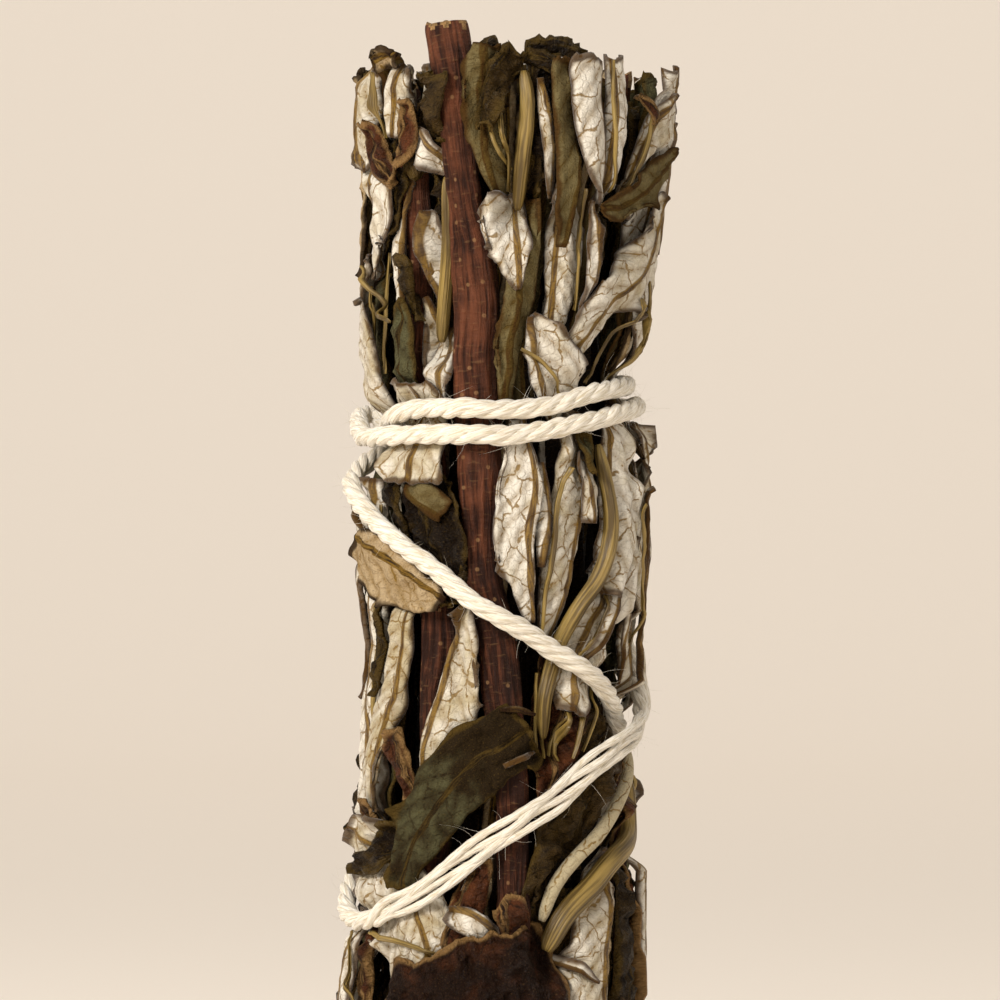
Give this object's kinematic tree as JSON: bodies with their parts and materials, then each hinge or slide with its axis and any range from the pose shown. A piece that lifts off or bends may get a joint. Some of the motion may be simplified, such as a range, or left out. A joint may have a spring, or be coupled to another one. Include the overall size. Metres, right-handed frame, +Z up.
{
  "type": "smudge stick",
  "caption": "Smudge stick: dried leaves and woody stems laid lengthwise, cut square at the ends and bound with a crossing spiral of cotton twine.",
  "frame": {"origin": "centre of the cut base, on the surface that the stick stands on", "axes": "+Z up the stick to its cut top, -Y to the side where the thick stem shows"},
  "size_m": [0.0302, 0.03, 0.104],
  "materials": {
    "bark": "dry, finely wrinkled red-brown bark",
    "green_stalk": "dry, ribbed, slightly glossy",
    "pale_leaf": "matt felted underside with brown veins",
    "green_leaf": "dry, matt, finely wrinkled",
    "olive_leaf": "dry, slightly glossy midrib and folded blade",
    "dark_leaf": "dry, shrivelled, almost black",
    "brown_leaf": "dry, leathery, wrinkled",
    "tan_leaf": "dry, matt, felted",
    "cotton_twine": "undyed twisted cotton, fuzzy"
  },
  "bodies": {
    "root": {"twine": "cotton_twine", "stem_thick": "bark", "stem_second": "bark", "stem_right": "bark", "stalk_slim": "green_stalk", "stalk_red": "green_stalk", "stalk_curved": "green_stalk", "leaf_rolled": "pale_leaf", "stalk_tan": "green_stalk", "leaf_dark_top": "dark_leaf", "leaf_pale_04": "pale_leaf", "leaf_pale_03": "pale_leaf", "leaf_pale_small": "pale_leaf", "leaf_green_small": "green_leaf", "leaf_pale_01": "pale_leaf", "leaf_pale_02": "pale_leaf", "leaf_brown_top": "brown_leaf", "leaf_dark_01": "dark_leaf", "leaf_pale_06": "pale_leaf", "leaf_pale_edge": "pale_leaf", "leaf_pale_07": "pale_leaf", "leaf_tan_01": "tan_leaf", "leaf_pale_08": "pale_leaf", "leaf_pale_09": "pale_leaf", "leaf_brown_04": "brown_leaf", "leaf_pale_11": "pale_leaf", "leaf_olive_01": "olive_leaf", "leaf_dark_03": "dark_leaf", "leaf_pale_14": "pale_leaf", "leaf_olive_02": "olive_leaf", "leaf_pale_16": "pale_leaf", "leaf_pale_20": "pale_leaf", "leaf_pale_17": "pale_leaf", "leaf_olive_03": "olive_leaf", "leaf_pale_18": "pale_leaf", "leaf_pale_19": "pale_leaf", "leaf_pale_15": "pale_leaf", "leaf_dark_02": "dark_leaf", "leaf_pale_13": "pale_leaf", "leaf_olive_04": "olive_leaf", "leaf_dark_05": "dark_leaf", "leaf_brown_06": "brown_leaf", "leaf_pale_25": "pale_leaf", "leaf_pale_22": "pale_leaf", "leaf_pale_24": "pale_leaf", "leaf_pale_23": "pale_leaf", "leaf_pale_21": "pale_leaf", "leaf_pale_27": "pale_leaf", "leaf_dark_06": "dark_leaf", "leaf_green_big": "green_leaf", "leaf_brown_05": "brown_leaf", "leaf_brown_big": "brown_leaf", "sprig_back_1": "green_leaf", "sprig_back_2": "pale_leaf", "sprig_back_3": "green_leaf", "inner_leaves": "dark_leaf"}
  },
  "joints": []
}
